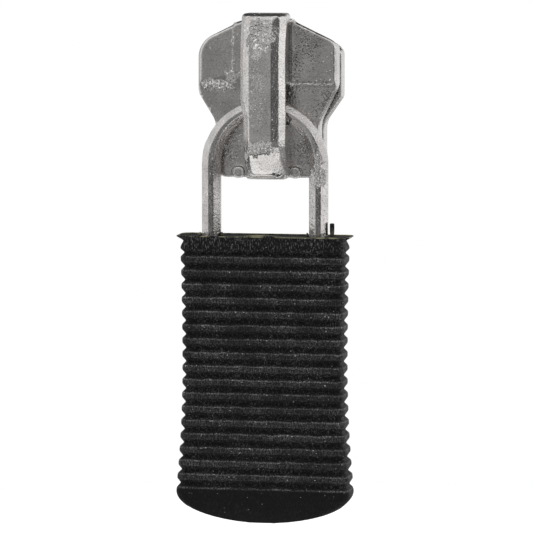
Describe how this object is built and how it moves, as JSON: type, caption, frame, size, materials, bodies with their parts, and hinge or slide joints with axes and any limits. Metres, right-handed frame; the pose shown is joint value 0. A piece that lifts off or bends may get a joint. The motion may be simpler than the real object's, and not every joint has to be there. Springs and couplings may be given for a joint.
{
  "type": "zipper slider with pull",
  "caption": "Auto-lock zipper slider in polished plated metal with a hinged bail and a black ribbed rubber pull.",
  "frame": {"origin": "middle of the chain channel, halfway between the two plates and halfway along them", "axes": "+X across the slider, -Y out of the face that carries the cap, +Z along the chain to the wide front end, so the pull hangs down"},
  "size_m": [0.0186, 0.0104, 0.0534],
  "materials": {
    "plated_body": "polished nickel plate over cast zinc",
    "plated_cap": "polished nickel plate over cast zinc, speckled",
    "plated_bail": "polished nickel plate over cast zinc",
    "spring_steel": "rolled spring steel",
    "lever_steel": "stamped and tumbled steel",
    "black_rubber": "moulded, matt, fine grain"
  },
  "bodies": {
    "root": {"slider_body": "plated_body", "crown_cap": "plated_cap", "lock_spring": "spring_steel"},
    "lever": {"lock_lever": "lever_steel"},
    "pull": {"pull_bail": "plated_bail", "pull_grip": "black_rubber"}
  },
  "joints": [
    {"name": "pull_swing", "type": "hinge", "parent": "root", "child": "pull", "pos_m": [0, -0.00415, -0.0011], "axis": [-1, 0, 0], "range_deg": [0, 180]},
    {"name": "lock_release", "type": "hinge", "parent": "root", "child": "lever", "pos_m": [0, -0.0048, 0.0052], "axis": [-1, 0, 0], "range_deg": [0, 5], "stiffness_Nm_per_rad": 0.03, "springref_deg": -5.73, "deforming": ["lock_spring"]}
  ]
}
